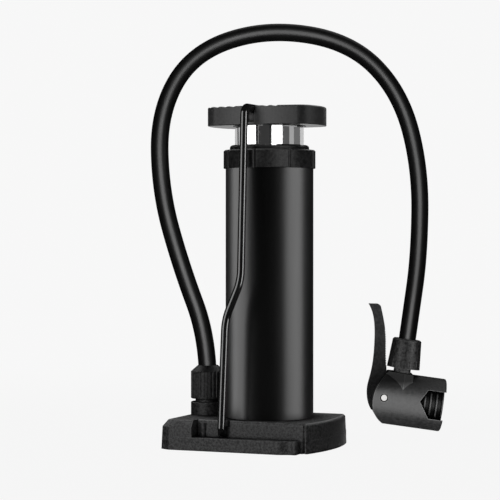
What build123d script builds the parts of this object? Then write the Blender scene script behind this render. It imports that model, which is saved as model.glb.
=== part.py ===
from build123d import *
import math
import os

# Foot-operated air pump with a wire bail, a floor base, a stiff hose and a lever chuck.
#
# Millimetres, +Z up. The barrel's axis is the Z axis and the pump stands on z = 0. +X points along the
# base away from the hose outlet, -Y is the front. The pump is made with its pedal locked down by the bail.

os.makedirs("parts", exist_ok=True)

# ---- driving dimensions -------------------------------------------------------------------------
base_h = 18.5  # height of the base housing
flange_h = 8.2  # height of the low ledge that the bail folds down on
base_left = -56.0  # left end of the base
base_right = 39.0  # where the right end starts to bulge
base_bulge = 44.6  # furthest point of the bulged right end
core_y = 36.0  # half width of the tall part of the base
flange_y = 46.0  # half width of the base at the ledge
recess_x = -33.4  # where the bail's recess starts
floor_z = 8.0  # bottom of the pressure chamber
draft = 2.5  # lean of the outer walls, in degrees

barrel_r = 27.8
barrel_wall = 2.0
barrel_top = 181.0
cap_r = 29.1
cap_z = 175.5
cap_shoulder = 187.1
cap_ring_r = 25.1
cap_top = 190.2

tube_r = 21.9
tube_wall = 2.0
tube_bottom = 34.0
tube_top = 204.2
running = 0.05  # radial running clearance

pedal_x = -1.6  # centre of the pedal
pedal_half = 37.2
pedal_w = 22.6
pedal_z = 202.3
pedal_top = 214.3
boss_r = 22.9
boss_z = 201.9

wire_r = 2.45
bail_y = 39.6  # half width of the bail at its pivots
bail_bar_y = 33.1  # and at its crossbar
pivot_x = -16.25
pivot_z = 10.9
bar_x = -3.43
bar_z = 212.65
notch_x = -4.0  # notch in the pedal's side, beside the crossbar's groove

rod_r = 4.0
rod_top = 76.0

outlet_x = -42.7
collar_r = 10.9
nut_r = 10.9
nut_z = 28.3
nut_top = 49.9
hose_r = 5.8

chuck_yaw = 22.0  # the chuck's own frame: turned about Z
chuck_tilt = 8.0  # and tipped nose down
chuck_r = 17.9
chuck_back = -19.2
chuck_nose = 30.1
chuck_pin = -11.3
chuck_pin_v = 0.8
pin_r = 2.3

# ---- base ---------------------------------------------------------------------------------------


def low_outline(shrink=0.0, whole=True):
    """Plan of the base at the ledge: corners cut off at the left, stepped in to the tall part at the right.

    The ledge by itself, when not whole, stops inside the block at the left end.
    """
    if whole:
        left_end = [
            (base_left + 6.6, flange_y),
            (base_left, flange_y - 3.8),
            (base_left, -flange_y + 3.8),
            (base_left + 6.6, -flange_y),
        ]
    else:
        left_end = [(-43.0, flange_y), (-43.0, -flange_y)]
    with BuildSketch() as plan:
        with BuildLine():
            Polyline(
                (base_right, core_y),
                (34.7, core_y),
                (34.7, flange_y - 2.3),
                (29.8, flange_y - 2.3),
                (24.8, flange_y),
                *left_end,
                (24.8, -flange_y),
                (29.8, -flange_y + 2.3),
                (34.7, -flange_y + 2.3),
                (34.7, -core_y),
                (base_right, -core_y),
            )
            ThreePointArc((base_right, -core_y), (base_bulge, 0), (base_right, core_y))
        make_face()
        if whole:
            fillet(plan.vertices().filter_by(lambda p: p.X < base_left + 7), 1.2)
        fillet(plan.vertices().filter_by(lambda p: 24 < p.X < 30), 9)
        fillet(plan.vertices().filter_by(lambda p: abs(p.X - 34.7) < 0.1 and abs(p.Y) > core_y + 1), 1.2)
        fillet(plan.vertices().filter_by(lambda p: abs(p.X - base_right) < 0.1), 1.4)
        if shrink:
            offset(amount=-shrink, kind=Kind.INTERSECTION)
    return plan.sketch


def core_outline(shrink=0.0, left=-48.0):
    """Plan of the tall part of the base."""
    with BuildSketch() as plan:
        with BuildLine():
            Polyline((base_right, core_y), (left, core_y), (left, -core_y), (base_right, -core_y))
            ThreePointArc((base_right, -core_y), (base_bulge, 0), (base_right, core_y))
        make_face()
        fillet(plan.vertices().filter_by(lambda p: abs(p.X - base_right) < 0.1), 1.4)
        if shrink:
            offset(amount=-shrink, kind=Kind.INTERSECTION)
    return plan.sketch


def block_outline(shrink=0.0):
    """Plan of the block at the left end, as wide as the ledge."""
    with BuildSketch() as plan:
        with BuildLine():
            Polyline(
                (recess_x, flange_y),
                (base_left + 6.6, flange_y),
                (base_left, flange_y - 3.8),
                (base_left, -flange_y + 3.8),
                (base_left + 6.6, -flange_y),
                (recess_x, -flange_y),
                close=True,
            )
        make_face()
        if shrink:
            offset(amount=-shrink, kind=Kind.INTERSECTION)
    return plan.sketch


sole_screw_places = [(-47.5, -33.5), (-47.5, 33.5), (33.0, -24.5), (33.0, 24.5)]

with BuildPart() as base_housing:
    # low ledge all round
    with BuildSketch():
        add(low_outline(0.15, whole=False))
    extrude(amount=flange_h)
    ledge_rim = base_housing.edges().group_by(Axis.Z)[-1]
    fillet(ledge_rim.filter_by(lambda e: recess_x < e.center().X < 34 and abs(e.center().Y) > core_y), 0.6)
    # tall core, its top edge rounded
    with BuildPart(mode=Mode.PRIVATE) as core:
        with BuildSketch():
            add(core_outline())
        extrude(amount=base_h, taper=draft)
        fillet(core.edges().group_by(Axis.Z)[-1].filter_by(lambda e: e.center().X > -46), 2.2)
    add(core.part)
    # left block, as wide as the ledge and as tall as the core, its outer top edges bevelled
    with BuildPart(mode=Mode.PRIVATE) as block:
        with BuildSketch():
            add(block_outline())
        extrude(amount=base_h, taper=draft)
        rim = block.edges().group_by(Axis.Z)[-1]
        chamfer(
            rim.filter_by(lambda e: e.center().X < recess_x - 2.0),
            3.2,
            4.4,
            reference=block.faces().sort_by(Axis.Z)[-1],
        )
        fillet(block.edges().filter_by(lambda e: e.center().X < recess_x - 1 and e.center().Z > 1), 1.2)
    # the two outer corners are cut back further
    for s in (-1, 1):
        corner = Plane(origin=(base_left + 3.3, s * (flange_y - 1.9), 0), x_dir=(-3.8, s * 6.6, 0), z_dir=(-6.6, -s * 3.8, 0))
        with BuildPart(mode=Mode.PRIVATE) as cutter:
            with BuildSketch(corner):
                with BuildLine():
                    Polyline((0.6, s * 11.2), (-4.6, s * 18.7), (6.0, s * 24.0), (6.0, s * 11.2), close=True)
                make_face()
            extrude(amount=14, both=True)
        block.part -= cutter.part
    add(block.part)
    for s in (-1, 1):
        # upright bead on the core beside the block, and a fine groove beside the right corner
        with BuildSketch():
            with Locations((-30.1, s * (core_y - 0.9))):
                Circle(2.1)
        extrude(amount=base_h - 1.7)
        with BuildSketch():
            with Locations((37.0, s * (core_y - 0.45))):
                Circle(0.95)
        extrude(amount=base_h + 1, mode=Mode.SUBTRACT)
        # upright pocket that the bail's leg stands in front of, open at the top
        with BuildSketch(Plane.XZ.offset(-s * (core_y - 3.4))):
            with Locations((pivot_x, pivot_z)):
                Circle(4.1)
            with Locations((pivot_x, pivot_z + 5.0)):
                Rectangle(8.2, 10.0)
        extrude(amount=-s * 5, mode=Mode.SUBTRACT)
    # round boss under the outlet's collar
    with BuildSketch(Plane.XY.offset(10)):
        with Locations((outlet_x, 0)):
            Circle(collar_r)
    extrude(amount=base_h - 10)
    # hollow underside: low cavity everywhere, tall cavity under the core and under the block
    with BuildSketch():
        add(low_outline(3.0))
    extrude(amount=flange_h - 3.0, mode=Mode.SUBTRACT)
    with BuildSketch():
        add(core_outline(3.4, -43.0))
        add(block_outline(4.2))
    extrude(amount=base_h - 4.2, mode=Mode.SUBTRACT)
    # hub that the barrel stands in, outlet boss, duct rib, pivot blocks and screw posts
    with BuildSketch(Plane.XY.offset(2.4)):
        Circle(barrel_r + 3.4)
        with Locations((outlet_x, 0)):
            Circle(9.0)
        with Locations(((outlet_x - 26) / 2, 0)):
            Rectangle(abs(outlet_x) - 26, 9)
        with Locations((pivot_x, core_y - 4.5), (pivot_x, -core_y + 4.5)):
            Rectangle(10, 7)
        with Locations(sole_screw_places):
            Circle(4.0)
    extrude(amount=base_h - 4.2 - 2.4 + 0.2)
    # socket for the barrel
    with BuildSketch(Plane.XY.offset(floor_z)):
        Circle(barrel_r)
    extrude(amount=base_h, mode=Mode.SUBTRACT)
    # screw hole for the spring rod, counterbored from below
    with BuildSketch(Plane.XY.offset(2.4)):
        Circle(4.7)
    extrude(amount=2.6, mode=Mode.SUBTRACT)
    with BuildSketch(Plane.XY.offset(2.4)):
        Circle(2.6)
    extrude(amount=8, mode=Mode.SUBTRACT)
    # air duct: down from the chamber, along the rib, up into the outlet
    with BuildSketch(Plane.YZ.offset(outlet_x - 2)):
        with Locations((0, 5.2)):
            Circle(1.7)
    extrude(amount=abs(outlet_x) + 2 - 11.5, mode=Mode.SUBTRACT)
    with BuildSketch(Plane.XY.offset(5.2)):
        with Locations((-14.0, 0), (outlet_x, 0)):
            Circle(1.4)
    extrude(amount=4, mode=Mode.SUBTRACT)
    with BuildSketch(Plane.XY.offset(floor_z)):
        with Locations((outlet_x, 0)):
            Circle(6.0)
    extrude(amount=base_h, mode=Mode.SUBTRACT)
    # pivot holes for the bail
    for s in (-1, 1):
        with BuildSketch(Plane.XZ.offset(-s * 25.5)):
            with Locations((pivot_x, pivot_z)):
                Circle(wire_r + running)
        extrude(amount=-s * 11.5, mode=Mode.SUBTRACT)
    # pilot holes for the sole's screws
    with BuildSketch(Plane.XY.offset(2.4)):
        with Locations(sole_screw_places):
            Circle(1.4)
    extrude(amount=9.0, mode=Mode.SUBTRACT)
base_housing.part.label = "base_housing"
export_step(base_housing.part, "parts/base_housing.step")

with BuildPart() as sole_plate:
    with BuildSketch():
        add(low_outline(3.15))
    extrude(amount=2.4)
    with BuildSketch():
        with Locations(sole_screw_places):
            Circle(3.2)
    extrude(amount=1.3, mode=Mode.SUBTRACT)
    with BuildSketch():
        with Locations(sole_screw_places):
            Circle(1.6)
    extrude(amount=2.4, mode=Mode.SUBTRACT)
sole_plate.part.label = "sole_plate"
export_step(sole_plate.part, "parts/sole_plate.step")

with BuildPart() as sole_screws:
    with BuildSketch(Plane.XY.offset(0.2)):
        with Locations(sole_screw_places):
            Circle(2.9)
    extrude(amount=1.1)
    with BuildSketch(Plane.XY.offset(1.0)):
        with Locations(sole_screw_places):
            Circle(1.4)
    extrude(amount=9.4)
sole_screws.part.label = "sole_screws"
export_step(sole_screws.part, "parts/sole_screws.step")

# ---- barrel and its cap -------------------------------------------------------------------------

with BuildPart() as barrel_gasket:
    with BuildSketch(Plane.XY.offset(floor_z)):
        Circle(barrel_r - 0.1)
        Circle(barrel_r - barrel_wall - 0.6, mode=Mode.SUBTRACT)
    extrude(amount=1.4)
barrel_gasket.part.label = "barrel_gasket"
export_step(barrel_gasket.part, "parts/barrel_gasket.step")

with BuildPart() as barrel:
    with BuildSketch(Plane.XY.offset(floor_z + 1.4)):
        Circle(barrel_r)
        Circle(barrel_r - barrel_wall, mode=Mode.SUBTRACT)
    extrude(amount=barrel_top - floor_z - 1.4)
barrel.part.label = "barrel"
export_step(barrel.part, "parts/barrel.step")

with BuildPart() as barrel_cap:
    with BuildSketch(Plane.XY.offset(cap_z)):
        Circle(cap_r)
    extrude(amount=cap_shoulder - cap_z)
    chamfer(barrel_cap.edges().group_by(Axis.Z)[-1], 0.7)
    fillet(barrel_cap.edges().group_by(Axis.Z)[0], 0.4)
    # eight upright grip grooves
    with BuildSketch(Plane.XY.offset(cap_z)):
        with PolarLocations(cap_r + 0.3, 8, start_angle=2.8):
            Circle(1.15)
    extrude(amount=cap_shoulder - cap_z, mode=Mode.SUBTRACT)
    # raised ring with four shallow spanner notches
    with BuildSketch(Plane.XY.offset(cap_shoulder - 0.6)):
        Circle(cap_ring_r)
    extrude(amount=cap_top - cap_shoulder + 0.6)
    fillet(barrel_cap.edges().group_by(Axis.Z)[-1], 1.7)
    with BuildSketch(Plane.XY.offset(cap_top - 0.75)):
        with PolarLocations(cap_ring_r, 6, start_angle=-65):
            Rectangle(9.0, 7.5)
    extrude(amount=1, mode=Mode.SUBTRACT)
    # bores: barrel thread, bush seat, tube hole
    with BuildSketch(Plane.XY.offset(cap_z)):
        Circle(barrel_r)
    extrude(amount=barrel_top - cap_z, mode=Mode.SUBTRACT)
    with BuildSketch(Plane.XY.offset(barrel_top)):
        Circle(24.3)
    extrude(amount=6.0, mode=Mode.SUBTRACT)
    with BuildSketch(Plane.XY.offset(barrel_top)):
        Circle(tube_r + 0.45)
    extrude(amount=12, mode=Mode.SUBTRACT)
barrel_cap.part.label = "barrel_cap"
export_step(barrel_cap.part, "parts/barrel_cap.step")

with BuildPart() as guide_bush:
    with BuildSketch(Plane.XY.offset(barrel_top)):
        Circle(24.3)
        Circle(tube_r + running, mode=Mode.SUBTRACT)
    extrude(amount=4.2)
guide_bush.part.label = "guide_bush"
export_step(guide_bush.part, "parts/guide_bush.step")

with BuildPart() as wiper_ring:
    with BuildSketch(Plane.XY.offset(barrel_top + 4.2)):
        Circle(24.3)
        Circle(tube_r + running, mode=Mode.SUBTRACT)
    extrude(amount=1.8)
wiper_ring.part.label = "wiper_ring"
export_step(wiper_ring.part, "parts/wiper_ring.step")

# ---- spring rod inside the barrel ---------------------------------------------------------------

with BuildPart() as spring_rod:
    with BuildSketch(Plane.XY.offset(floor_z)):
        Circle(8.0)
    extrude(amount=2.2)
    with BuildSketch(Plane.XY.offset(floor_z)):
        Circle(rod_r)
    extrude(amount=rod_top - floor_z)
    with BuildSketch(Plane.XY.offset(rod_top)):
        Circle(2.9)
    extrude(amount=4.5)
    with BuildSketch(Plane.XY.offset(floor_z)):
        Circle(2.5)
    extrude(amount=14, mode=Mode.SUBTRACT)
spring_rod.part.label = "spring_rod"
export_step(spring_rod.part, "parts/spring_rod.step")

with BuildPart() as rod_screw:
    with BuildSketch(Plane.XY.offset(2.7)):
        Circle(4.5)
    extrude(amount=2.3)
    with BuildSketch(Plane.XY.offset(5.0)):
        Circle(2.5)
    extrude(amount=15)
rod_screw.part.label = "rod_screw"
export_step(rod_screw.part, "parts/rod_screw.step")

with BuildPart() as spring_seat:
    with BuildSketch(Plane.XY.offset(rod_top)):
        Circle(15.5)
        Circle(2.9, mode=Mode.SUBTRACT)
    extrude(amount=3.0)
    fillet(spring_seat.edges().filter_by(GeomType.CIRCLE).sort_by(SortBy.RADIUS)[-2:], 0.6)
spring_seat.part.label = "spring_seat"
export_step(spring_seat.part, "parts/spring_seat.step")

spring_wire = 1.25
spring_mean = 13.0
spring_low = rod_top + 3.0 + spring_wire + 0.05
spring_high = 196.0 - spring_wire - 0.05
with BuildPart() as return_spring:
    with BuildLine():
        coil = Helix(
            pitch=(spring_high - spring_low) / 11,
            height=spring_high - spring_low,
            radius=spring_mean,
            center=(0, 0, spring_low),
        )
    with BuildSketch(Plane(origin=coil @ 0, z_dir=coil % 0)):
        Circle(spring_wire)
    sweep(path=coil, is_frenet=True)
return_spring.part.label = "return_spring"
export_step(return_spring.part, "parts/return_spring.step")

# ---- piston, tube and pedal ---------------------------------------------------------------------

with BuildPart() as piston_tube:
    with BuildSketch(Plane.XY.offset(tube_bottom)):
        Circle(tube_r)
        Circle(tube_r - tube_wall, mode=Mode.SUBTRACT)
    extrude(amount=tube_top - tube_bottom)
piston_tube.part.label = "piston_tube"
export_step(piston_tube.part, "parts/piston_tube.step")

with BuildPart() as piston_head:
    with BuildSketch(Plane.XY.offset(26.0)):
        Circle(25.2)
    extrude(amount=8)
    with BuildSketch(Plane.XY.offset(28.2)):
        Circle(25.2)
        Circle(22.4, mode=Mode.SUBTRACT)
    extrude(amount=3.4, mode=Mode.SUBTRACT)
    with BuildSketch(Plane.XY.offset(tube_bottom)):
        Circle(tube_r - tube_wall)
    extrude(amount=12)
    with BuildSketch(Plane.XY.offset(26.0)):
        Circle(rod_r + 0.2)
    extrude(amount=20, mode=Mode.SUBTRACT)
    with BuildSketch(Plane.XY.offset(30.0)):
        Circle(14)
        Circle(rod_r + 4, mode=Mode.SUBTRACT)
    extrude(amount=16, mode=Mode.SUBTRACT)
    with BuildSketch(Plane.XY.offset(42.0)):
        Circle(7.0)
    extrude(amount=4, mode=Mode.SUBTRACT)
piston_head.part.label = "piston_head"
export_step(piston_head.part, "parts/piston_head.step")

with BuildPart() as piston_seal:
    with BuildSketch(Plane.XY.offset(28.2)):
        Circle(barrel_r - barrel_wall - running)
        Circle(22.4, mode=Mode.SUBTRACT)
    extrude(amount=3.4)
piston_seal.part.label = "piston_seal"
export_step(piston_seal.part, "parts/piston_seal.step")

with BuildPart() as rod_seal:
    with BuildSketch(Plane.XY.offset(42.0)):
        Circle(7.0)
        Circle(rod_r + running, mode=Mode.SUBTRACT)
    extrude(amount=3.2)
rod_seal.part.label = "rod_seal"
export_step(rod_seal.part, "parts/rod_seal.step")

pedal_screw_places = [(9.5, 0), (-14.5, 0)]

with BuildPart() as tube_plug:
    with BuildSketch(Plane.XY.offset(196.0)):
        Circle(tube_r - tube_wall)
    extrude(amount=tube_top - 196.0)
    with BuildSketch(Plane.XY.offset(196.0)):
        with Locations(pedal_screw_places):
            Circle(2.0)
    extrude(amount=12, mode=Mode.SUBTRACT)
tube_plug.part.label = "tube_plug"
export_step(tube_plug.part, "parts/tube_plug.step")

with BuildPart() as pedal:
    with BuildSketch(Plane.XY.offset(pedal_z)) as pedal_plan:
        with BuildLine():
            x0, x1, e = pedal_x - pedal_half, pedal_x + pedal_half, 20.2
            ThreePointArc((x0 + 4.5, -e + 1), (pedal_x, -pedal_w), (x1 - 4.5, -e + 1))
            ThreePointArc((x1 - 4.5, -e + 1), (x1, 0), (x1 - 4.5, e - 1))
            ThreePointArc((x1 - 4.5, e - 1), (pedal_x, pedal_w), (x0 + 4.5, e - 1))
            ThreePointArc((x0 + 4.5, e - 1), (x0, 0), (x0 + 4.5, -e + 1))
        make_face()
        fillet(pedal_plan.vertices(), 9)
    extrude(amount=pedal_top - pedal_z)
    fillet(pedal.edges().group_by(Axis.Z)[-1], 1.1)
    fillet(pedal.edges().group_by(Axis.Z)[0], 0.5)
    # grip grooves right across the left end and the middle, short of the rim at the right end
    for gx in (-33.6, -27.9, -22.2, -16.5, 6.2, 11.9):
        with BuildSketch(Plane.XZ.offset(-30)):
            with Locations((gx, pedal_top + 2.6)):
                Circle(3.4)
        extrude(amount=60, mode=Mode.SUBTRACT)
    with BuildSketch(Plane.XY.offset(pedal_top - 0.8)):
        for gx in (17.6, 23.3, 29.0):
            with Locations((gx, 0)):
                SlotOverall(30 if gx < 26 else 22, 3.4, rotation=90)
    extrude(amount=2, mode=Mode.SUBTRACT)
    # groove for the bail's crossbar, running down both side faces as a notch
    with BuildSketch(Plane.XZ.offset(-30)):
        with Locations((bar_x, bar_z)):
            Circle(wire_r + 0.35)
        with Locations((bar_x, bar_z + 4)):
            Rectangle(2 * wire_r + 0.7, 8)
    extrude(amount=60, mode=Mode.SUBTRACT)
    for s in (-1, 1):
        with BuildSketch(Plane.XY.offset(pedal_z + 1.6)):
            with Locations((notch_x, s * (pedal_w + 2.2))):
                Rectangle(5.5, 9)
        extrude(amount=20, mode=Mode.SUBTRACT)
    # boss round the tube, tube socket and screw holes
    with BuildSketch(Plane.XY.offset(boss_z)):
        Circle(boss_r)
    extrude(amount=pedal_z - boss_z + 0.3)
    with BuildSketch(Plane.XY.offset(boss_z)):
        Circle(tube_r)
    extrude(amount=tube_top - boss_z, mode=Mode.SUBTRACT)
    with BuildSketch(Plane.XY.offset(tube_top)):
        with Locations(pedal_screw_places):
            Circle(2.2)
    extrude(amount=12, mode=Mode.SUBTRACT)
    with BuildSketch(Plane.XY.offset(210.6)):
        with Locations(pedal_screw_places):
            Circle(4.2)
    extrude(amount=10, mode=Mode.SUBTRACT)
pedal.part.label = "pedal"
export_step(pedal.part, "parts/pedal.step")

with BuildPart() as pedal_screws:
    with BuildSketch(Plane.XY.offset(210.6)):
        with Locations(pedal_screw_places):
            Circle(3.9)
    extrude(amount=2.2)
    fillet(pedal_screws.edges().group_by(Axis.Z)[-1], 0.9)
    with BuildSketch(Plane.XY.offset(212.0)):
        with Locations(pedal_screw_places):
            Rectangle(4.4, 0.9)
            Rectangle(0.9, 4.4)
    extrude(amount=2, mode=Mode.SUBTRACT)
    with BuildSketch(Plane.XY.offset(197.5)):
        with Locations(pedal_screw_places):
            Circle(2.0)
    extrude(amount=13.2)
pedal_screws.part.label = "pedal_screws"
export_step(pedal_screws.part, "parts/pedal_screws.step")

# ---- wire bail ----------------------------------------------------------------------------------

with BuildPart() as bail_wire:
    with BuildLine():
        wire = FilletPolyline(
            (pivot_x, -26.2, pivot_z),
            (pivot_x, -bail_y, pivot_z),
            (-13.41, -bail_y, 81.46),
            (-3.53, -38.57, 105.22),
            (bar_x, -bail_bar_y, bar_z),
            (bar_x, bail_bar_y, bar_z),
            (-3.53, 38.57, 105.22),
            (-13.41, bail_y, 81.46),
            (pivot_x, bail_y, pivot_z),
            (pivot_x, 26.2, pivot_z),
            radius=[3.2, 39.0, 35.0, 5.0, 5.0, 35.0, 39.0, 3.2],
        )
    with BuildSketch(Plane(origin=wire @ 0, z_dir=wire % 0)):
        Circle(wire_r)
    sweep(path=wire)
bail_wire.part.label = "bail_wire"
export_step(bail_wire.part, "parts/bail_wire.step")

# ---- outlet fitting with its check valve --------------------------------------------------------

with BuildPart() as valve_seat:
    with BuildSketch(Plane.XY.offset(floor_z)):
        with Locations((outlet_x, 0)):
            Circle(6.0)
            Circle(1.7, mode=Mode.SUBTRACT)
    extrude(amount=1.6)
valve_seat.part.label = "valve_seat"
export_step(valve_seat.part, "parts/valve_seat.step")

ball_r = 2.5
ball_z = floor_z + 1.6 + math.sqrt(ball_r**2 - 1.7**2) + 0.03
with BuildPart() as valve_ball:
    with Locations((outlet_x, 0, ball_z)):
        Sphere(ball_r)
valve_ball.part.label = "valve_ball"
export_step(valve_ball.part, "parts/valve_ball.step")

with BuildPart() as outlet_fitting:
    # spigot in the base, collar on it, neck, thread under the nut, hose barb
    with BuildSketch(Plane.XY.offset(floor_z + 1.6)):
        with Locations((outlet_x, 0)):
            Circle(6.0)
    extrude(amount=base_h - floor_z - 1.6)
    with BuildSketch(Plane.XY.offset(base_h)):
        with Locations((outlet_x, 0)):
            Circle(collar_r)
    extrude(amount=8.1)
    fillet(outlet_fitting.edges().group_by(Axis.Z)[-1], 0.6)
    with BuildSketch(Plane.XY.offset(base_h)):
        with Locations((outlet_x, 0)):
            Circle(8.0)
    extrude(amount=nut_z - base_h + 0.4)
    with BuildSketch(Plane.XY.offset(base_h)):
        with Locations((outlet_x, 0)):
            Circle(6.6)
    extrude(amount=35.5 - base_h)
    for bz in (35.5, 38.7, 41.9):
        with BuildSketch(Plane.XY.offset(bz)):
            with Locations((outlet_x, 0)):
                Circle(2.9)
        extrude(amount=3.2, taper=7)
    # valve chamber and outlet bore
    with BuildSketch(Plane.XY.offset(floor_z + 1.6)):
        with Locations((outlet_x, 0)):
            Circle(3.3)
    extrude(amount=13.5, mode=Mode.SUBTRACT)
    with BuildSketch(Plane.XY.offset(floor_z + 1.6)):
        with Locations((outlet_x, 0)):
            Circle(1.5)
    extrude(amount=60, mode=Mode.SUBTRACT)
outlet_fitting.part.label = "outlet_fitting"
export_step(outlet_fitting.part, "parts/outlet_fitting.step")

vs_low = ball_z + 1.9
vs_high = floor_z + 1.6 + 13.5 - 0.3
with BuildPart() as valve_spring:
    with BuildLine():
        vcoil = Helix(
            pitch=(vs_high - vs_low) / 5,
            height=vs_high - vs_low,
            radius=2.5,
            center=(outlet_x, 0, vs_low),
        )
    with BuildSketch(Plane(origin=vcoil @ 0, z_dir=vcoil % 0)):
        Circle(0.25)
    sweep(path=vcoil, is_frenet=True)
valve_spring.part.label = "valve_spring"
export_step(valve_spring.part, "parts/valve_spring.step")

with BuildPart() as base_hose_nut:
    with BuildSketch(Plane.XY.offset(nut_z + 0.4)):
        with Locations((outlet_x, 0)):
            Circle(nut_r)
    extrude(amount=17.3)
    with BuildSketch(Plane.XY.offset(nut_z + 17.7)):
        with Locations((outlet_x, 0)):
            Circle(nut_r)
    extrude(amount=nut_top - nut_z - 17.7, taper=49)
    fillet(base_hose_nut.edges().group_by(Axis.Z)[0], 0.5)
    # grip flutes
    with BuildSketch(Plane.XY.offset(nut_z + 1.6)):
        with Locations((outlet_x, 0)):
            with PolarLocations(nut_r + 0.35, 28):
                Circle(0.75)
    extrude(amount=20, mode=Mode.SUBTRACT)
    with BuildSketch(Plane.XY.offset(nut_z)):
        with Locations((outlet_x, 0)):
            Circle(6.6)
    extrude(amount=35.5 - nut_z, mode=Mode.SUBTRACT)
    with BuildSketch(Plane.XY.offset(nut_z)):
        with Locations((outlet_x, 0)):
            Circle(hose_r + running)
    extrude(amount=30, mode=Mode.SUBTRACT)
base_hose_nut.part.label = "base_hose_nut"
export_step(base_hose_nut.part, "parts/base_hose_nut.step")

# ---- chuck --------------------------------------------------------------------------------------
# its own frame: u along the body towards the valve, v along the hose's end, w square to both

chuck_at = Vector(49.1, 113.5, 21.75)
_a, _t = math.radians(chuck_yaw), math.radians(chuck_tilt)
cu = Vector(math.cos(_t) * math.cos(_a), math.cos(_t) * math.sin(_a), -math.sin(_t))
cv = Vector(math.sin(_t) * math.cos(_a), math.sin(_t) * math.sin(_a), math.cos(_t))
cw = Vector(math.sin(_a), -math.cos(_a), 0)


def chuck_point(u, v, w):
    return chuck_at + cu * u + cv * v + cw * w


def across(u):
    """Plane square to the body: x is v, y is w."""
    return Plane(origin=chuck_point(u, 0, 0), x_dir=cv, z_dir=cu)


def level(v, u=0.0):
    """Plane square to the hose's end: x is u, y is -w."""
    return Plane(origin=chuck_point(u, v, 0), x_dir=cu, z_dir=cv)


def side(w):
    """Plane along the body and the hose: x is u, y is v."""
    return Plane(origin=chuck_point(0, 0, w), x_dir=cu, z_dir=cw)


slot_half = 5.35
lever_half = 5.0

with BuildPart() as chuck_body:
    with BuildSketch(across(chuck_back)):
        Circle(chuck_r)
    extrude(amount=chuck_nose - chuck_back)
    fillet(
        chuck_body.edges().filter_by(GeomType.CIRCLE).sort_by(Axis(chuck_at, cu))[-1], 1.3
    )
    # faceted boss under the hose fitting
    with BuildSketch(level(0)):
        Polygon(
            (-11.5, -7.0),
            (0.6, -16.1),
            (6.7, -12.0),
            (6.7, 12.0),
            (0.6, 16.1),
            (-11.5, 7.0),
            align=None,
        )
    extrude(amount=18.3)
    # back end rounded in side view, so that its cheeks stand either side of the lever
    with BuildSketch(side(-30)):
        with BuildLine():
            Spline(
                (-7.6, -19.0),
                (-9.9, -17.2),
                (-13.7, -14.0),
                (-16.9, -9.2),
                (-18.5, -3.0),
                (-18.3, 2.5),
                (-16.8, 7.7),
                (-14.0, 12.9),
                (-10.4, 17.6),
                (-6.5, 22.0),
            )
            Polyline((-6.5, 22.0), (-34, 22.0), (-34, -19.0), (-7.6, -19.0))
        make_face()
    extrude(amount=60, mode=Mode.SUBTRACT)
    # slot for the lever: round its hub, and open to the back and the top
    with BuildSketch(side(-slot_half)):
        with BuildLine():
            Polyline(
                (chuck_back - 5, -14.6),
                (-8.0, -14.6),
                (0.7, -8.0),
                (0.7, 4.0),
                (-2.6, 8.2),
                (-6.5, 10.2),
                (-8.3, 10.6),
                (-8.9, 24.0),
                (chuck_back - 5, 24.0),
                close=True,
            )
        make_face()
    extrude(amount=2 * slot_half, mode=Mode.SUBTRACT)
    # plunger bore, chamber behind the gasket, and the mouth
    with BuildSketch(across(-3.0)):
        Circle(5.0)
    extrude(amount=17, mode=Mode.SUBTRACT)
    with BuildSketch(across(10.0)):
        Circle(9.6)
    extrude(amount=8, mode=Mode.SUBTRACT)
    with BuildSketch(across(15.2)):
        Circle(15.2)
    extrude(amount=20, mode=Mode.SUBTRACT)
    # windows in both sides of the mouth
    with BuildSketch(side(-30)):
        with BuildLine():
            Polyline((12.8, 1.7), (17.7, 9.8), (32, 9.8), (32, -9.3), (20.0, -9.3), close=True)
        make_face()
    extrude(amount=60, mode=Mode.SUBTRACT)
    # air gallery from the hose fitting to the chamber
    with BuildSketch(level(7.5, 0.8)):
        Circle(1.6)
    extrude(amount=8, mode=Mode.SUBTRACT)
    with BuildSketch(Plane(origin=chuck_point(0.2, 7.5, 0), x_dir=cv, z_dir=cu)):
        Circle(1.5)
    extrude(amount=12, mode=Mode.SUBTRACT)
    # socket for the hose fitting
    with BuildSketch(level(11.0)):
        Circle(5.1)
    extrude(amount=12, mode=Mode.SUBTRACT)
    # pin hole
    with BuildSketch(side(-30)):
        with Locations((chuck_pin, chuck_pin_v)):
            Circle(pin_r)
    extrude(amount=60, mode=Mode.SUBTRACT)
    for w0 in (-30.0, 16.9):
        with BuildSketch(side(w0)):
            with Locations((chuck_pin, chuck_pin_v)):
                Circle(pin_r + 0.5)
        extrude(amount=13.1, mode=Mode.SUBTRACT)
chuck_body.part.label = "chuck_body"
export_step(chuck_body.part, "parts/chuck_body.step")

with BuildPart() as chuck_fitting:
    with BuildSketch(level(11.0)):
        Circle(5.1)
    extrude(amount=12.0)
    with BuildSketch(level(18.3)):
        with Locations((-0.5, 0)):
            Circle(5.8)
    extrude(amount=4.7)
    with BuildSketch(level(22.9)):
        Circle(6.4)
    extrude(amount=6.3)
    for bv in (29.2, 32.2, 35.2):
        with BuildSketch(level(bv)):
            Circle(2.9)
        extrude(amount=3.0, taper=7)
    with BuildSketch(level(10.0)):
        Circle(1.5)
    extrude(amount=40, mode=Mode.SUBTRACT)
chuck_fitting.part.label = "chuck_fitting"
export_step(chuck_fitting.part, "parts/chuck_fitting.step")

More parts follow.
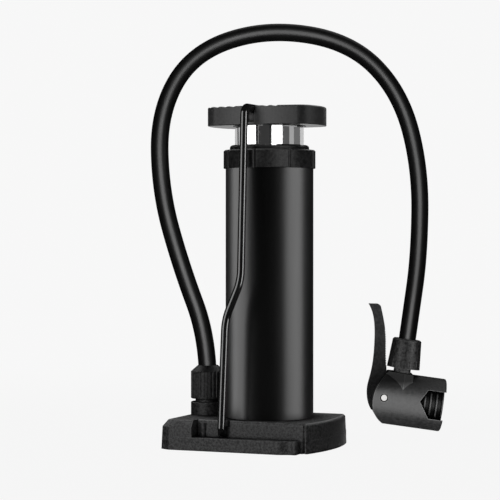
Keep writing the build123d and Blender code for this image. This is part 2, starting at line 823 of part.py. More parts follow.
with BuildPart() as chuck_hose_nut:
    with BuildSketch(level(21.5)):
        Circle(11.2)
    with BuildSketch(level(41.4)):
        Circle(9.7)
    loft()
    chamfer(
        chuck_hose_nut.edges().filter_by(GeomType.CIRCLE).sort_by(Axis(chuck_at, cv))[-1], 0.9
    )
    # broad grip facets round the nut
    with BuildSketch(level(22.0)):
        with PolarLocations(11.8, 12, start_angle=15):
            Circle(1.15)
    extrude(amount=22, mode=Mode.SUBTRACT)
    with BuildSketch(level(20)):
        Circle(6.4)
    extrude(amount=9.2, mode=Mode.SUBTRACT)
    with BuildSketch(level(20)):
        Circle(hose_r + running)
    extrude(amount=30, mode=Mode.SUBTRACT)
chuck_hose_nut.part.label = "chuck_hose_nut"
export_step(chuck_hose_nut.part, "parts/chuck_hose_nut.step")

with BuildPart() as chuck_lever:
    # thumb lever with its cam, seen from the side
    with BuildSketch(side(-lever_half)) as lever_side:
        with BuildLine():
            back = Spline(
                (-29.3, 61.6),
                (-26.1, 56.6),
                (-23.0, 46.5),
                (-21.6, 36.0),
                (-20.9, 22.0),
                (-21.6, 12.0),
                (-22.3, 5.5),
                (-21.7, -0.5),
                (-20.1, -5.6),
                (-18.0, -9.3),
            )
            Line((-18.0, -9.3), (-12.0, -9.0))
            Line((-12.0, -9.0), (-10.1, -6.5))
            Line((-10.1, -6.5), (-4.0, 1.5))
            Line((-4.0, 1.5), (-9.6, 12.0))
            front = Spline(
                (-9.6, 12.0),
                (-11.6, 20.0),
                (-13.7, 32.0),
                (-15.2, 42.0),
                (-18.1, 52.6),
                (-20.8, 60.0),
            )
            ThreePointArc((-20.8, 60.0), (-21.8, 61.7), (-23.4, 62.3))
            Line((-23.4, 62.3), (-29.3, 61.6))
        make_face()
        with Locations((chuck_pin, chuck_pin_v - 2.0)):
            Circle(9.0)
        with Locations((chuck_pin, chuck_pin_v)):
            Circle(pin_r + running, mode=Mode.SUBTRACT)
        # row of fine teeth down the front edge
        with Locations([front @ (0.22 + 0.033 * k) for k in range(15)]):
            Circle(0.42, mode=Mode.SUBTRACT)
    extrude(amount=2 * lever_half)
chuck_lever.part.label = "chuck_lever"
export_step(chuck_lever.part, "parts/chuck_lever.step")

with BuildPart() as lever_pin:
    with BuildSketch(side(-17.6)):
        with Locations((chuck_pin, chuck_pin_v)):
            Circle(pin_r)
    extrude(amount=35.2)
    chamfer(lever_pin.edges().filter_by(GeomType.CIRCLE), 0.3)
lever_pin.part.label = "lever_pin"
export_step(lever_pin.part, "parts/lever_pin.step")

with BuildPart() as chuck_plunger:
    with BuildSketch(across(-1.6)):
        Circle(5.0 - running)
    extrude(amount=13)
    with BuildSketch(across(10.6)):
        Circle(9.6 - running)
    extrude(amount=2.8)
    with BuildSketch(across(9.0)):
        Circle(3.0)
    extrude(amount=10, mode=Mode.SUBTRACT)
    with BuildSketch(level(0, 10.0)):
        Circle(1.0)
    extrude(amount=6, mode=Mode.SUBTRACT)
chuck_plunger.part.label = "chuck_plunger"
export_step(chuck_plunger.part, "parts/chuck_plunger.step")

with BuildPart() as chuck_gasket:
    with BuildSketch(across(16.0)):
        Circle(9.5)
        Circle(4.1, mode=Mode.SUBTRACT)
    extrude(amount=8.9)
chuck_gasket.part.label = "chuck_gasket"
export_step(chuck_gasket.part, "parts/chuck_gasket.step")

with BuildPart() as chuck_cap:
    with BuildSketch(across(15.5)):
        Circle(11.6)
    extrude(amount=13.5)
    for ru in (16.2, 20.0, 24.1, 28.2):
        with BuildSketch(across(ru)):
            Circle(14.9)
        extrude(amount=0.8)
    with BuildSketch(across(15.5)):
        Circle(9.5)
    extrude(amount=9.4, mode=Mode.SUBTRACT)
    with BuildSketch(across(15.5)):
        Circle(4.1)
    extrude(amount=20, mode=Mode.SUBTRACT)
chuck_cap.part.label = "chuck_cap"
export_step(chuck_cap.part, "parts/chuck_cap.step")

# ---- hose ---------------------------------------------------------------------------------------

hose_start = Vector(outlet_x, 0, 37.5)
hose_end = chuck_point(0, 30.5, 0)
hose_points = [
    hose_start,
    Vector(outlet_x, 0, 67.1),
    Vector(-61.1, -0.5, 112.3),
    Vector(-76.4, 0.1, 161.2),
    Vector(-80.6, 6.4, 214.4),
    Vector(-63.0, 22.3, 253.7),
    Vector(-21.3, 48.2, 270.4),
    Vector(27.4, 76.8, 262.2),
    Vector(55.6, 96.8, 228.9),
    Vector(65.9, 108.6, 177.9),
    Vector(63.4, 113.9, 119.8),
    chuck_point(0, 56.0, 0),
    hose_end,
]
hose_radii = []
for i in range(1, len(hose_points) - 1):
    p, q = hose_points[i] - hose_points[i - 1], hose_points[i + 1] - hose_points[i]
    half_turn = math.radians(p.get_angle(q)) / 2
    hose_radii.append(0.48 * min(p.length, q.length) / math.tan(half_turn))
print("hose runs", [round((hose_points[i + 1] - hose_points[i]).length, 1) for i in range(12)])
print("hose radii", [round(r, 1) for r in hose_radii])

with BuildPart() as hose:
    with BuildLine():
        route = FilletPolyline(*hose_points, radius=hose_radii)
    with BuildSketch(Plane(origin=route @ 0, z_dir=route % 0)):
        Circle(hose_r)
    sweep(path=route)
hose.part.label = "hose"
export_step(hose.part, "parts/hose.step")
hose_length = route.length
print("hose length", round(hose_length, 1), "volume", round(hose.part.volume, 1))
print("section times length", round(math.pi * hose_r**2 * hose_length, 1))
print("chuck lowest", round(chuck_body.part.bounding_box().min.Z, 3))
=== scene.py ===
import math

import bmesh
import bpy
from mathutils import Matrix, Vector


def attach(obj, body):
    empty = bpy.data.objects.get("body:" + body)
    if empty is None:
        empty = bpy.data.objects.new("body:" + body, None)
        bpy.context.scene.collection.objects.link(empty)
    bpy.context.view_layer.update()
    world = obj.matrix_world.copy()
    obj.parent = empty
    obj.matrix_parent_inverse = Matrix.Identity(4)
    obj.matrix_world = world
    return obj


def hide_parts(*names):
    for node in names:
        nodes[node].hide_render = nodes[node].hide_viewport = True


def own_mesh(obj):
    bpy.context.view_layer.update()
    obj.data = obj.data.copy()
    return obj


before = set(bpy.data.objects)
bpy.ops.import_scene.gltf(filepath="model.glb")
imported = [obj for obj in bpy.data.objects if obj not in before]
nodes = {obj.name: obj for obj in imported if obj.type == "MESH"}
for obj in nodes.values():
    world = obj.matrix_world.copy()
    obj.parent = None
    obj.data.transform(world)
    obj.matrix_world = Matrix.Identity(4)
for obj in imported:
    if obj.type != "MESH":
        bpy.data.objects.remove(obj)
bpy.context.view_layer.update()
scene = bpy.context.scene

# ---------------------------------------------------------------- camera
AZ = math.radians(22.0)
DIST = 1.1729
EYE = 0.13414
toward = Vector((-math.sin(AZ), math.cos(AZ), 0.0))
across = Vector((math.cos(AZ), math.sin(AZ), 0.0))
cam_data = bpy.data.cameras.new("camera")
cam_data.sensor_width = 36.0
cam_data.lens = 133.2
cam = bpy.data.objects.new("camera", cam_data)
scene.collection.objects.link(cam)
cam.location = toward * -DIST + Vector((0, 0, EYE))
look = (toward * 1850.0 - across * 19.5 - Vector((0, 0, 16.0))).normalized()
cam.rotation_mode = "QUATERNION"
cam.rotation_quaternion = look.to_track_quat("-Z", "Y")
cam_data.clip_start, cam_data.clip_end = 0.05, 60.0
scene.camera = cam

# ---------------------------------------------------------------- hose
HOSE_POINTS = [
    (-0.0427, 0.0, 0.0375),
    (-0.0427, 0.0, 0.0671),
    (-0.0611, -0.0005, 0.1123),
    (-0.0764, 0.0001, 0.1612),
    (-0.0806, 0.0064, 0.2144),
    (-0.0630, 0.0223, 0.2537),
    (-0.0213, 0.0482, 0.2704),
    (0.0274, 0.0768, 0.2622),
    (0.0556, 0.0968, 0.2289),
    (0.0659, 0.1086, 0.1779),
    (0.0634, 0.1139, 0.1198),
    (0.05633, 0.11642, 0.07721),
    (0.05304, 0.11509, 0.05195),
]
HOSE_R = 0.0058


def nurbs(points, radius):
    """A clamped quadratic NURBS through the given control points, as a plain mesh."""
    cu = bpy.data.curves.new("route", "CURVE")
    cu.dimensions = "3D"
    sp = cu.splines.new("NURBS")
    sp.points.add(len(points) - 1)
    for p, q in zip(sp.points, points):
        p.co = (*q, 1.0)
    sp.order_u = 3
    sp.use_endpoint_u = True
    sp.resolution_u = 16
    cu.bevel_depth = radius
    cu.bevel_resolution = 10
    cu.use_fill_caps = radius > 0
    ob = bpy.data.objects.new("route", cu)
    scene.collection.objects.link(ob)
    bpy.context.view_layer.update()
    me = bpy.data.meshes.new_from_object(ob.evaluated_get(bpy.context.evaluated_depsgraph_get()))
    bpy.data.objects.remove(ob)
    bpy.data.curves.remove(cu)
    return me


hose_path = [tuple(v.co) for v in nurbs(HOSE_POINTS, 0.0).vertices]
hose_mesh = nurbs(HOSE_POINTS, HOSE_R)
for face in hose_mesh.polygons:
    face.use_smooth = True
hose = bpy.data.objects.new("air_hose", hose_mesh)
scene.collection.objects.link(hose)
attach(hose, "root")
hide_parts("hose")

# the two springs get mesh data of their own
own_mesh(nodes["return_spring"])
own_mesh(nodes["valve_spring"])

# ---------------------------------------------------------------- materials


class Mat:
    """A node material: helpers that add texture nodes around one Principled shader."""

    def __init__(self, name, **sockets):
        self.m = bpy.data.materials.new(name)
        self.m.use_nodes = True
        self.t = self.m.node_tree
        self.t.nodes.clear()
        self.out = self.t.nodes.new("ShaderNodeOutputMaterial")
        self.b = self.t.nodes.new("ShaderNodeBsdfPrincipled")
        self.t.links.new(self.b.outputs[0], self.out.inputs["Surface"])
        for k, v in sockets.items():
            self.b.inputs[k.replace("_", " ")].default_value = v
        self.co = self.t.nodes.new("ShaderNodeTexCoord").outputs["Object"]
        self.normal = None

    def node(self, kind, **props):
        n = self.t.nodes.new(kind)
        for k, v in props.items():
            setattr(n, k, v)
        return n

    def link(self, a, b):
        self.t.links.new(a, b)

    def mapped(self, scale):
        n = self.node("ShaderNodeMapping")
        n.inputs["Scale"].default_value = scale
        self.link(self.co, n.inputs["Vector"])
        return n.outputs[0]

    def noise(self, scale, detail=3.0, rough=0.55, co=None):
        n = self.node("ShaderNodeTexNoise")
        n.inputs["Scale"].default_value = scale
        n.inputs["Detail"].default_value = detail
        n.inputs["Roughness"].default_value = rough
        self.link(co or self.co, n.inputs["Vector"])
        return n.outputs["Fac"]

    def voronoi(self, scale, co=None, feature="F1"):
        n = self.node("ShaderNodeTexVoronoi", feature=feature)
        n.inputs["Scale"].default_value = scale
        self.link(co or self.co, n.inputs["Vector"])
        return n.outputs["Distance"]

    def ramp(self, fac, stops):
        n = self.node("ShaderNodeValToRGB")
        e = n.color_ramp.elements
        while len(e) < len(stops):
            e.new(0.5)
        for x, (pos, col) in zip(e, stops):
            x.position = pos
            x.color = (*col, 1.0) if len(col) == 3 else col
        self.link(fac, n.inputs["Fac"])
        return n.outputs["Color"]

    def span(self, fac, lo, hi, a=0.3, b=0.7):
        n = self.node("ShaderNodeMapRange")
        n.inputs["From Min"].default_value = a
        n.inputs["From Max"].default_value = b
        n.inputs["To Min"].default_value = lo
        n.inputs["To Max"].default_value = hi
        self.link(fac, n.inputs["Value"])
        return n.outputs["Result"]

    def math(self, op, a, b):
        n = self.node("ShaderNodeMath", operation=op)
        for s, v in zip(n.inputs, (a, b)):
            if isinstance(v, (int, float)):
                s.default_value = v
            else:
                self.link(v, s)
        return n.outputs[0]

    def mix(self, fac, a, b):
        n = self.node("ShaderNodeMix", data_type="RGBA")
        ins = [s for s in n.inputs if s.type == "RGBA"]
        self.link(fac, n.inputs[0])
        for s, v in zip(ins, (a, b)):
            if isinstance(v, tuple):
                s.default_value = (*v, 1.0)
            else:
                self.link(v, s)
        return [s for s in n.outputs if s.type == "RGBA"][0]

    def color(self, c):
        self.link(c, self.b.inputs["Base Color"])

    def rough(self, c):
        self.link(c, self.b.inputs["Roughness"])

    def bump(self, height, strength, distance):
        n = self.node("ShaderNodeBump")
        n.inputs["Strength"].default_value = strength
        n.inputs["Distance"].default_value = distance
        self.link(height, n.inputs["Height"])
        if self.normal is not None:
            self.link(self.normal, n.inputs["Normal"])
        self.normal = n.outputs[0]
        self.link(self.normal, self.b.inputs["Normal"])

    def edge(self, radius=0.0006):
        """How near the surface is to a sharp edge, from 0 on a flat to 1 on the edge."""
        bev = self.node("ShaderNodeBevel", samples=6)
        bev.inputs["Radius"].default_value = radius
        geo = self.node("ShaderNodeNewGeometry")
        dot = self.node("ShaderNodeVectorMath", operation="DOT_PRODUCT")
        self.link(bev.outputs[0], dot.inputs[0])
        self.link(geo.outputs["Normal"], dot.inputs[1])
        n = self.node("ShaderNodeMapRange")
        n.inputs["From Min"].default_value = 0.995
        n.inputs["From Max"].default_value = 0.82
        self.link(dot.outputs["Value"], n.inputs["Value"])
        return n.outputs["Result"]

    def crevice(self, reach, shut, open_):
        """How open the surface is, from 0 in a tight corner to 1 in the open."""
        n = self.node("ShaderNodeAmbientOcclusion", samples=8)
        n.inputs["Distance"].default_value = reach
        return self.span(n.outputs["AO"], 0.0, 1.0, shut, open_)


def g(v):
    return (v, v, v)


def tint(v, r=1.0, gg=1.0, b=1.0):
    return (v * r, v * gg, v * b)


def moulded(name, lo, hi, r0, r1, grain=1500.0, strength=0.22, distance=0.00012,
            spec=0.5, edge=0.04, coat=0.0, speck_scale=560.0, crevice=0.0035, shut=0.35, open_=0.72,
            grit=0.25, matt_shaded_top=False, smooth_under=False, painted_height_shade=None):
    """Moulded black plastic: spark-eroded grain and faint flow marks, with a painted highlight that makes edges
    a little lighter and painted shade that makes corners and seams a little darker."""
    m = Mat(name, Specular_IOR_Level=spec)
    if coat:
        m.b.inputs["Coat Weight"].default_value = coat
        m.b.inputs["Coat Roughness"].default_value = 0.2
    flow = m.noise(38.0, 4.0, 0.6, m.mapped((1.0, 1.0, 1.7)))
    fine = m.noise(grain, 2.0, 0.6)
    speck = m.noise(speck_scale, 3.0, 0.75)
    tone = m.math("ADD", m.math("MULTIPLY", flow, 0.30), m.math("MULTIPLY", speck, 0.70))
    base = m.ramp(tone, [(0.40, tint(lo, 1.0, 1.0, 1.02)), (0.60, tint(hi, 1.0, 1.0, 1.02))])
    # painted highlight: sharp edges are made lighter, broken up by noise
    painted_edge_highlight = m.math("MULTIPLY", m.edge(0.0007), m.span(m.noise(260.0, 4.0, 0.65), 0.3, 1.0))
    # painted shade: ambient occlusion makes corners, recesses and seams darker and less glossy
    painted_shade = m.crevice(crevice, shut, open_)
    if matt_shaded_top:
        # faces that look straight up next to a wall get painted shade and a coarse matt grain
        up = m.node("ShaderNodeSeparateXYZ")
        m.link(m.node("ShaderNodeNewGeometry").outputs["Normal"], up.inputs[0])
        flat = m.span(up.outputs["Z"], 0.0, 1.0, 0.96, 0.985)
        wide = m.crevice(0.020, 0.66, 0.92)
        painted_shade = m.math("MINIMUM", painted_shade, m.math("SUBTRACT", 1.0, m.math("MULTIPLY", flat, m.math("SUBTRACT", 1.0, wide))))
    if painted_height_shade:
        # painted shade along the height: one end of the piece is made darker, from (height, tone) to (height, tone)
        at = m.node("ShaderNodeSeparateXYZ")
        m.link(m.co, at.inputs[0])
        (z0, f0), (z1, f1) = painted_height_shade
        painted_shade = m.math("MULTIPLY", painted_shade, m.span(at.outputs["Z"], f0, f1, z0, z1))
    # the painted shade colour is near black; the painted highlight lightens edges to the edge tone
    m.color(m.mix(painted_shade, g(0.0012), m.mix(painted_edge_highlight, base, g(edge))))
    gloss = m.math("MULTIPLY", m.span(painted_shade, 0.04, spec, 0.0, 1.0), m.span(speck, 1.0 - grit, 1.0 + grit, 0.38, 0.62))
    m.link(gloss, m.b.inputs["Specular IOR Level"])
    rough = m.span(m.math("ADD", m.math("MULTIPLY", flow, 0.3), m.math("MULTIPLY", speck, 0.7)), r0, r1, 0.38, 0.62)
    if matt_shaded_top:
        rough = m.math("MAXIMUM", rough, m.math("MULTIPLY", flat, 0.97))
    if smooth_under:
        # the underside comes off a polished face of the mould
        down = m.node("ShaderNodeSeparateXYZ")
        m.link(m.node("ShaderNodeNewGeometry").outputs["Normal"], down.inputs[0])
        rough = m.math("MINIMUM", rough, m.span(down.outputs["Z"], 0.20, 1.0, -0.98, -0.90))
    m.rough(rough)
    m.bump(fine, strength, distance)
    m.bump(speck, strength * 0.9, distance * 2.2)
    return m.m


def coated_barrel():
    """Satin black powder coat on a drawn steel tube: orange peel, a few faint rubs along the tube."""
    m = Mat("barrel_finish", Specular_IOR_Level=0.5)
    peel = m.noise(520.0, 2.0, 0.5)
    cloud = m.noise(22.0, 3.0, 0.5, m.mapped((1.0, 1.0, 0.25)))
    rub = m.noise(900.0, 2.0, 0.6, m.mapped((1.0, 1.0, 0.02)))
    m.color(m.ramp(cloud, [(0.35, tint(0.0012, 1.0, 1.0, 1.03)), (0.68, tint(0.0024, 1.0, 1.0, 1.03))]))
    m.rough(m.span(m.math("ADD", m.math("MULTIPLY", cloud, 0.6), m.math("MULTIPLY", rub, 0.4)), 0.33, 0.40))
    m.bump(peel, 0.10, 0.00006)
    return m.m


def chrome():
    """Bright chrome plate with very fine rub marks around the tube from the bush."""
    m = Mat("tube_chrome", Metallic=1.0)
    ring = m.noise(1.0, 3.0, 0.6, m.mapped((40.0, 40.0, 5200.0)))
    haze = m.noise(60.0, 3.0, 0.6)
    # painted shade: the end inside the pedal is coloured dark
    place = m.node("ShaderNodeSeparateXYZ")
    m.link(m.co, place.inputs[0])
    painted_dark_end = m.span(place.outputs["Z"], 0.0, 1.0, 0.2019, 0.2022)
    m.color(m.mix(painted_dark_end, m.ramp(haze, [(0.3, (0.80, 0.80, 0.80)), (0.7, (0.88, 0.88, 0.885))]), g(0.01)))
    m.rough(m.span(m.math("ADD", m.math("MULTIPLY", ring, 0.5), m.math("MULTIPLY", haze, 0.5)), 0.045, 0.11))
    m.bump(ring, 0.04, 0.00002)
    return m.m


def enamel():
    """Thick glossy black enamel on bent wire."""
    m = Mat("wire_enamel", Specular_IOR_Level=0.5, Coat_Weight=0.6, Coat_Roughness=0.08)
    cloud = m.noise(90.0, 3.0, 0.5)
    drip = m.noise(260.0, 2.0, 0.5)
    m.color(m.ramp(cloud, [(0.3, g(0.0035)), (0.7, g(0.0075))]))
    m.rough(m.span(cloud, 0.12, 0.2))
    m.bump(drip, 0.06, 0.0001)
    return m.m


def rubber(name, lo, hi, r0, r1, grain=1400.0, strength=0.12, distance=0.0001):
    m = Mat(name, Specular_IOR_Level=0.5)
    cloud = m.noise(45.0, 4.0, 0.6)
    fine = m.noise(grain, 3.0, 0.6)
    dust = m.noise(420.0, 5.0, 0.7)
    tone = m.math("ADD", m.math("MULTIPLY", cloud, 0.6), m.math("MULTIPLY", dust, 0.4))
    m.color(m.ramp(tone, [(0.35, g(lo)), (0.65, g(hi))]))
    m.rough(m.span(tone, r0, r1))
    m.bump(fine, strength, distance)
    return m.m


def steel(name, lo, hi, r0, r1, stretch=(1.0, 1.0, 1.0)):
    m = Mat(name, Metallic=1.0)
    a = m.noise(300.0, 4.0, 0.6, m.mapped(stretch))
    b = m.noise(1800.0, 2.0, 0.5, m.mapped(stretch))
    m.color(m.ramp(a, [(0.3, tint(lo, 1.0, 0.99, 0.97)), (0.7, tint(hi, 1.0, 0.99, 0.975))]))
    m.rough(m.span(a, r0, r1))
    m.bump(b, 0.08, 0.00004)
    return m.m


MATERIALS = {
    "base_plastic": moulded("base_plastic", 0.004, 0.032, 0.40, 0.68, grain=1300.0, strength=0.40, edge=0.11,
                            grit=0.48, matt_shaded_top=True, speck_scale=680.0),
    "barrel_finish": coated_barrel(),
    "cap_plastic": moulded("cap_plastic", 0.003, 0.010, 0.40, 0.54, strength=0.18, edge=0.10, grit=0.3),
    "pedal_plastic": moulded("pedal_plastic", 0.010, 0.018, 0.38, 0.48, strength=0.12, edge=0.06, crevice=0.004,
                             shut=0.50, open_=0.88, grit=0.08, smooth_under=True),
    "bush_plastic": moulded("bush_plastic", 0.010, 0.016, 0.36, 0.46, strength=0.10),
    "seal_rubber": rubber("seal_rubber", 0.008, 0.015, 0.55, 0.70),
    "fastener_steel": steel("fastener_steel", 0.42, 0.55, 0.22, 0.36),
    "spring_steel": steel("spring_steel", 0.36, 0.50, 0.26, 0.38),
    "tube_chrome": chrome(),
    "wire_enamel": enamel(),
    "nut_plastic": moulded("nut_plastic", 0.002, 0.012, 0.42, 0.62, strength=0.30, edge=0.05, grit=0.5,
                           crevice=0.0015, speck_scale=640.0),
    "base_nut_plastic": moulded("base_nut_plastic", 0.002, 0.012, 0.42, 0.62, strength=0.30, edge=0.05, grit=0.5,
                                crevice=0.0015, speck_scale=640.0, painted_height_shade=((0.0456, 1.0), (0.0462, 0.22))),
    "hose_rubber": rubber("hose_rubber", 0.0012, 0.0024, 0.35, 0.42),
    "chuck_plastic": moulded("chuck_plastic", 0.005, 0.012, 0.42, 0.52, strength=0.14, edge=0.14, grit=0.08,
                             crevice=0.0015, painted_height_shade=((0.0285, 1.0), (0.0350, 0.15))),
    "lever_plastic": moulded("lever_plastic", 0.050, 0.094, 0.46, 0.60, strength=0.22, edge=0.08, crevice=0.0015,
                             painted_height_shade=((0.034, 0.34), (0.080, 1.0))),
    "chuck_cap_plastic": moulded("chuck_cap_plastic", 0.006, 0.014, 0.34, 0.44, strength=0.10, edge=0.10, grit=0.1,
                                 crevice=0.0028, shut=0.66, open_=0.93),
    "pin_steel": steel("pin_steel", 0.72, 0.82, 0.22, 0.34),
}


def paint(ob, name):
    ob.data.materials.clear()
    ob.data.materials.append(MATERIALS[name])


NODE_FINISH = {
    "base_housing": "base_plastic",
    "sole_plate": "base_plastic",
    "sole_screws": "fastener_steel",
    "barrel_gasket": "seal_rubber",
    "barrel": "barrel_finish",
    "barrel_cap": "cap_plastic",
    "guide_bush": "bush_plastic",
    "wiper_ring": "seal_rubber",
    "spring_rod": "spring_steel",
    "rod_screw": "fastener_steel",
    "spring_seat": "bush_plastic",
    "return_spring": "spring_steel",
    "piston_tube": "tube_chrome",
    "piston_head": "bush_plastic",
    "piston_seal": "seal_rubber",
    "rod_seal": "seal_rubber",
    "tube_plug": "bush_plastic",
    "pedal": "pedal_plastic",
    "pedal_screws": "fastener_steel",
    "bail_wire": "wire_enamel",
    "valve_seat": "bush_plastic",
    "valve_ball": "spring_steel",
    "outlet_fitting": "nut_plastic",
    "valve_spring": "spring_steel",
    "base_hose_nut": "base_nut_plastic",
    "chuck_body": "chuck_plastic",
    "chuck_fitting": "nut_plastic",
    "chuck_hose_nut": "nut_plastic",
    "chuck_lever": "lever_plastic",
    "lever_pin": "pin_steel",
    "chuck_plunger": "bush_plastic",
    "chuck_gasket": "seal_rubber",
    "chuck_cap": "chuck_cap_plastic",
}
for n, finish in NODE_FINISH.items():
    paint(nodes[n], finish)
hose.data.materials.append(MATERIALS["hose_rubber"])

# ---------------------------------------------------------------- stage
PAPER = 0.932


def stage_floor():
    me = bpy.data.meshes.new("floor")
    bm = bmesh.new()
    bmesh.ops.create_circle(bm, cap_ends=True, radius=0.9, segments=128)
    bm.to_mesh(me)
    bm.free()
    ob = bpy.data.objects.new("floor", me)
    ob.location = (0, 0, -0.0002)
    scene.collection.objects.link(ob)
    m = bpy.data.materials.new("floor_paper")
    m.use_nodes = True
    t = m.node_tree
    t.nodes.clear()
    out = t.nodes.new("ShaderNodeOutputMaterial")
    dif = t.nodes.new("ShaderNodeBsdfDiffuse")
    dif.inputs["Color"].default_value = (0.86, 0.86, 0.86, 1)
    emi = t.nodes.new("ShaderNodeEmission")
    emi.inputs["Color"].default_value = (PAPER, PAPER, PAPER, 1)
    emi.inputs["Strength"].default_value = 1.0
    mix = t.nodes.new("ShaderNodeMixShader")
    co = t.nodes.new("ShaderNodeTexCoord")
    ln = t.nodes.new("ShaderNodeVectorMath")
    ln.operation = "LENGTH"
    rng = t.nodes.new("ShaderNodeMapRange")
    rng.interpolation_type = "SMOOTHERSTEP"
    rng.inputs["From Min"].default_value = 0.15
    rng.inputs["From Max"].default_value = 0.75
    rng.inputs["To Min"].default_value = 0.98
    rng.inputs["To Max"].default_value = 1.0
    t.links.new(co.outputs["Object"], ln.inputs[0])
    t.links.new(ln.outputs["Value"], rng.inputs["Value"])
    t.links.new(rng.outputs["Result"], mix.inputs["Fac"])
    t.links.new(dif.outputs[0], mix.inputs[1])
    t.links.new(emi.outputs[0], mix.inputs[2])
    t.links.new(mix.outputs[0], out.inputs["Surface"])
    me.materials.append(m)
    return ob


floor = stage_floor()
floor.visible_glossy = False

world = bpy.data.worlds.new("world")
scene.world = world
world.use_nodes = True
wt = world.node_tree
wt.nodes.clear()
w_out = wt.nodes.new("ShaderNodeOutputWorld")
w_mix = wt.nodes.new("ShaderNodeMixShader")
w_cam = wt.nodes.new("ShaderNodeBackground")
w_cam.inputs["Color"].default_value = (PAPER, PAPER, PAPER, 1)
w_amb = wt.nodes.new("ShaderNodeBackground")
w_amb.inputs["Color"].default_value = (1, 1, 1, 1)
w_amb.inputs["Strength"].default_value = 0.013
w_path = wt.nodes.new("ShaderNodeLightPath")
wt.links.new(w_path.outputs["Is Camera Ray"], w_mix.inputs["Fac"])
wt.links.new(w_amb.outputs[0], w_mix.inputs[1])
wt.links.new(w_cam.outputs[0], w_mix.inputs[2])
wt.links.new(w_mix.outputs[0], w_out.inputs["Surface"])


def softbox(name, azimuth, elevation, spread, height, level, centre=(0, 0, 0.11), distance=1.3, only=None, blockers=None):
    """An area light round the object.

    Azimuth is measured from the camera, positive to its right; spread is how wide the light looks from
    the object, in degrees; level is its brightness where white paper is 1.
    """
    a = AZ + math.radians(azimuth)
    e = math.radians(elevation)
    c = Vector(centre)
    back = Vector((math.sin(a) * math.cos(e), -math.cos(a) * math.cos(e), math.sin(e)))
    width = 2 * distance * math.tan(math.radians(spread / 2))
    data = bpy.data.lights.new(name, "AREA")
    data.shape = "RECTANGLE"
    data.size = width
    data.size_y = height
    data.energy = level * math.pi * width * height
    ob = bpy.data.objects.new(name, data)
    ob.location = c + back * distance
    ob.rotation_mode = "QUATERNION"
    ob.rotation_quaternion = (-back).to_track_quat("-Z", "Y")
    ob.visible_camera = False
    scene.collection.objects.link(ob)
    if only:
        col = bpy.data.collections.new(name + "_receivers")
        for o in only:
            col.objects.link(o)
        ob.light_linking.receiver_collection = col
    if blockers:
        col = bpy.data.collections.new(name + "_blockers")
        for o in blockers:
            col.objects.link(o)
        ob.light_linking.blocker_collection = col
    return ob


TUBE = [nodes["piston_tube"]]
BARREL = [nodes["barrel"]]
WIRE = [nodes["bail_wire"]]
CHUCK = [nodes[n] for n in (
    "chuck_body", "chuck_lever", "lever_pin", "chuck_cap", "chuck_gasket", "chuck_fitting", "chuck_hose_nut")]
PLASTIC = [nodes[n] for n in (
    "base_housing", "sole_plate", "pedal", "barrel_cap", "outlet_fitting", "base_hose_nut",
    "guide_bush", "wiper_ring", "pedal_screws", "tube_plug")]
TUBE_Z = (0, 0, 0.196)

PEDAL = [nodes[n] for n in ("pedal", "tube_plug", "pedal_screws")]
LOWER = [o for o in PLASTIC if o not in PEDAL and o is not nodes["barrel_cap"]]
CHUCK_BODY = [nodes["chuck_body"], nodes["chuck_fitting"], nodes["chuck_gasket"]]
CHUCK_AT = (0.049, 0.1135, 0.022)
ALL = [o for o in scene.objects if o.type == "MESH" and o is not floor]
BROAD = [o for o in ALL if o is not hose and o not in CHUCK and o not in WIRE]
NOT_WIRE = [o for o in ALL if o is not nodes["bail_wire"]]

softbox("key_left", -57, 14, 42, 1.2, 3.4, only=WIRE + TUBE + [nodes["chuck_lever"], nodes["lever_pin"], floor])
softbox("key_base", -36, 10, 38, 1.1, 3.1, only=LOWER)
softbox("top", 0, 82, 50, 1.2, 1.0, only=[o for o in BROAD if o is not nodes["base_hose_nut"]] + [nodes["chuck_lever"]])
softbox("top_base", 0, 82, 50, 1.2, 1.1, only=[nodes["base_housing"], nodes["barrel_cap"]])
softbox("top_chuck", 0, 84, 50, 1.0, 0.8, centre=CHUCK_AT, only=CHUCK)
softbox("strip_left", -86, 4, 54, 1.2, 3.5, only=BARREL)
softbox("strip_right", 68, 4, 50, 1.2, 4.3, only=BARREL)
softbox("strip_wire", 60, 4, 26, 1.2, 6.0, only=WIRE)
softbox("cap_left", -50, 10, 30, 1.0, 1.5, only=[nodes["barrel_cap"]])
softbox("cap_right", 36, 6, 40, 1.2, 2.0, only=[nodes["barrel_cap"]])
softbox("pedal_left", -36, 8, 46, 0.20, 2.75, centre=(-0.034, -0.02, 0.208), distance=0.22, only=PEDAL)
softbox("pedal_right", 74, 6, 60, 1.0, 0.8, centre=(0, 0, 0.208), only=PEDAL, blockers=NOT_WIRE)
softbox("hose_light", 0, 2, 46, 1.15, 5.9, centre=(0, 0.05, 0.15), only=[hose])
softbox("chuck_front", 0, -14, 70, 2.3, 3.9, centre=CHUCK_AT, only=CHUCK_BODY, blockers=CHUCK)
softbox("chuck_left", -74, 2, 34, 1.0, 4.0, centre=CHUCK_AT, only=CHUCK_BODY, blockers=CHUCK)
softbox("chuck_right", 68, 2, 34, 1.0, 4.4, centre=CHUCK_AT, only=CHUCK_BODY, blockers=CHUCK)
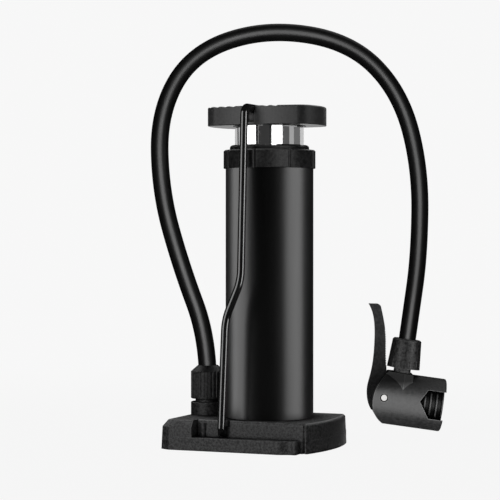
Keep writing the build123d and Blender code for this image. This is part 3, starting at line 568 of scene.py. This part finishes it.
softbox("chuck_nut_left", -42, 2, 26, 1.0, 4.2, centre=CHUCK_AT, only=[nodes["chuck_hose_nut"]], blockers=CHUCK)
softbox("chuck_nut_right", 44, 2, 26, 1.0, 5.4, centre=CHUCK_AT, only=[nodes["chuck_hose_nut"]], blockers=CHUCK)
softbox("chuck_mouth", -6, 0, 60, 1.2, 3.6, centre=CHUCK_AT, only=[nodes["chuck_cap"]], blockers=CHUCK)
softbox("pin_light", 0, 0, 40, 0.9, 1.15, centre=CHUCK_AT, only=[nodes["lever_pin"]], blockers=CHUCK)
softbox("tube_front", -19, 0, 38, 1.0, 0.03, centre=TUBE_Z, only=TUBE)
softbox("tube_front_right", 25, 0, 35, 1.0, 3.0, centre=TUBE_Z, only=TUBE)
softbox("tube_gap", 57, 0, 24, 1.0, 0.09, centre=TUBE_Z, only=TUBE)
softbox("tube_right", 79, 0, 20, 1.0, 0.40, centre=TUBE_Z, only=TUBE)
softbox("tube_far_right", 105, 0, 30, 1.0, 0.15, centre=TUBE_Z, only=TUBE)
softbox("tube_back_right", 140, 0, 36, 1.0, 0.60, centre=TUBE_Z, only=TUBE)
softbox("tube_back", 176, 0, 34, 1.0, 0.90, centre=TUBE_Z, only=TUBE)
softbox("tube_back_left", -130, 0, 66, 1.0, 0.54, centre=TUBE_Z, only=TUBE)
softbox("back", 180, 4, 60, 0.9, 0.9, only=[nodes["base_housing"]])
softbox("back_pedal", 180, 4, 60, 0.9, 0.50, only=[nodes["pedal"]])
softbox("fill_back_left", -138, 50, 44, 1.0, 3.0, only=BROAD)
softbox("fill_back_right", 138, 50, 44, 1.0, 2.6, only=BROAD)
softbox("fill_hose", 160, 60, 50, 0.9, 0.4, centre=CHUCK_AT, only=[hose])
softbox("fill_chuck", 160, 56, 50, 0.9, 0.95, centre=CHUCK_AT, only=CHUCK)

view_settings = scene.view_settings
view_settings.view_transform = "Standard"
view_settings.look = "None"
view_settings.exposure = 0.0
view_settings.gamma = 1.0

# ---------------------------------------------------------------- finish
bpy.context.view_layer.update()
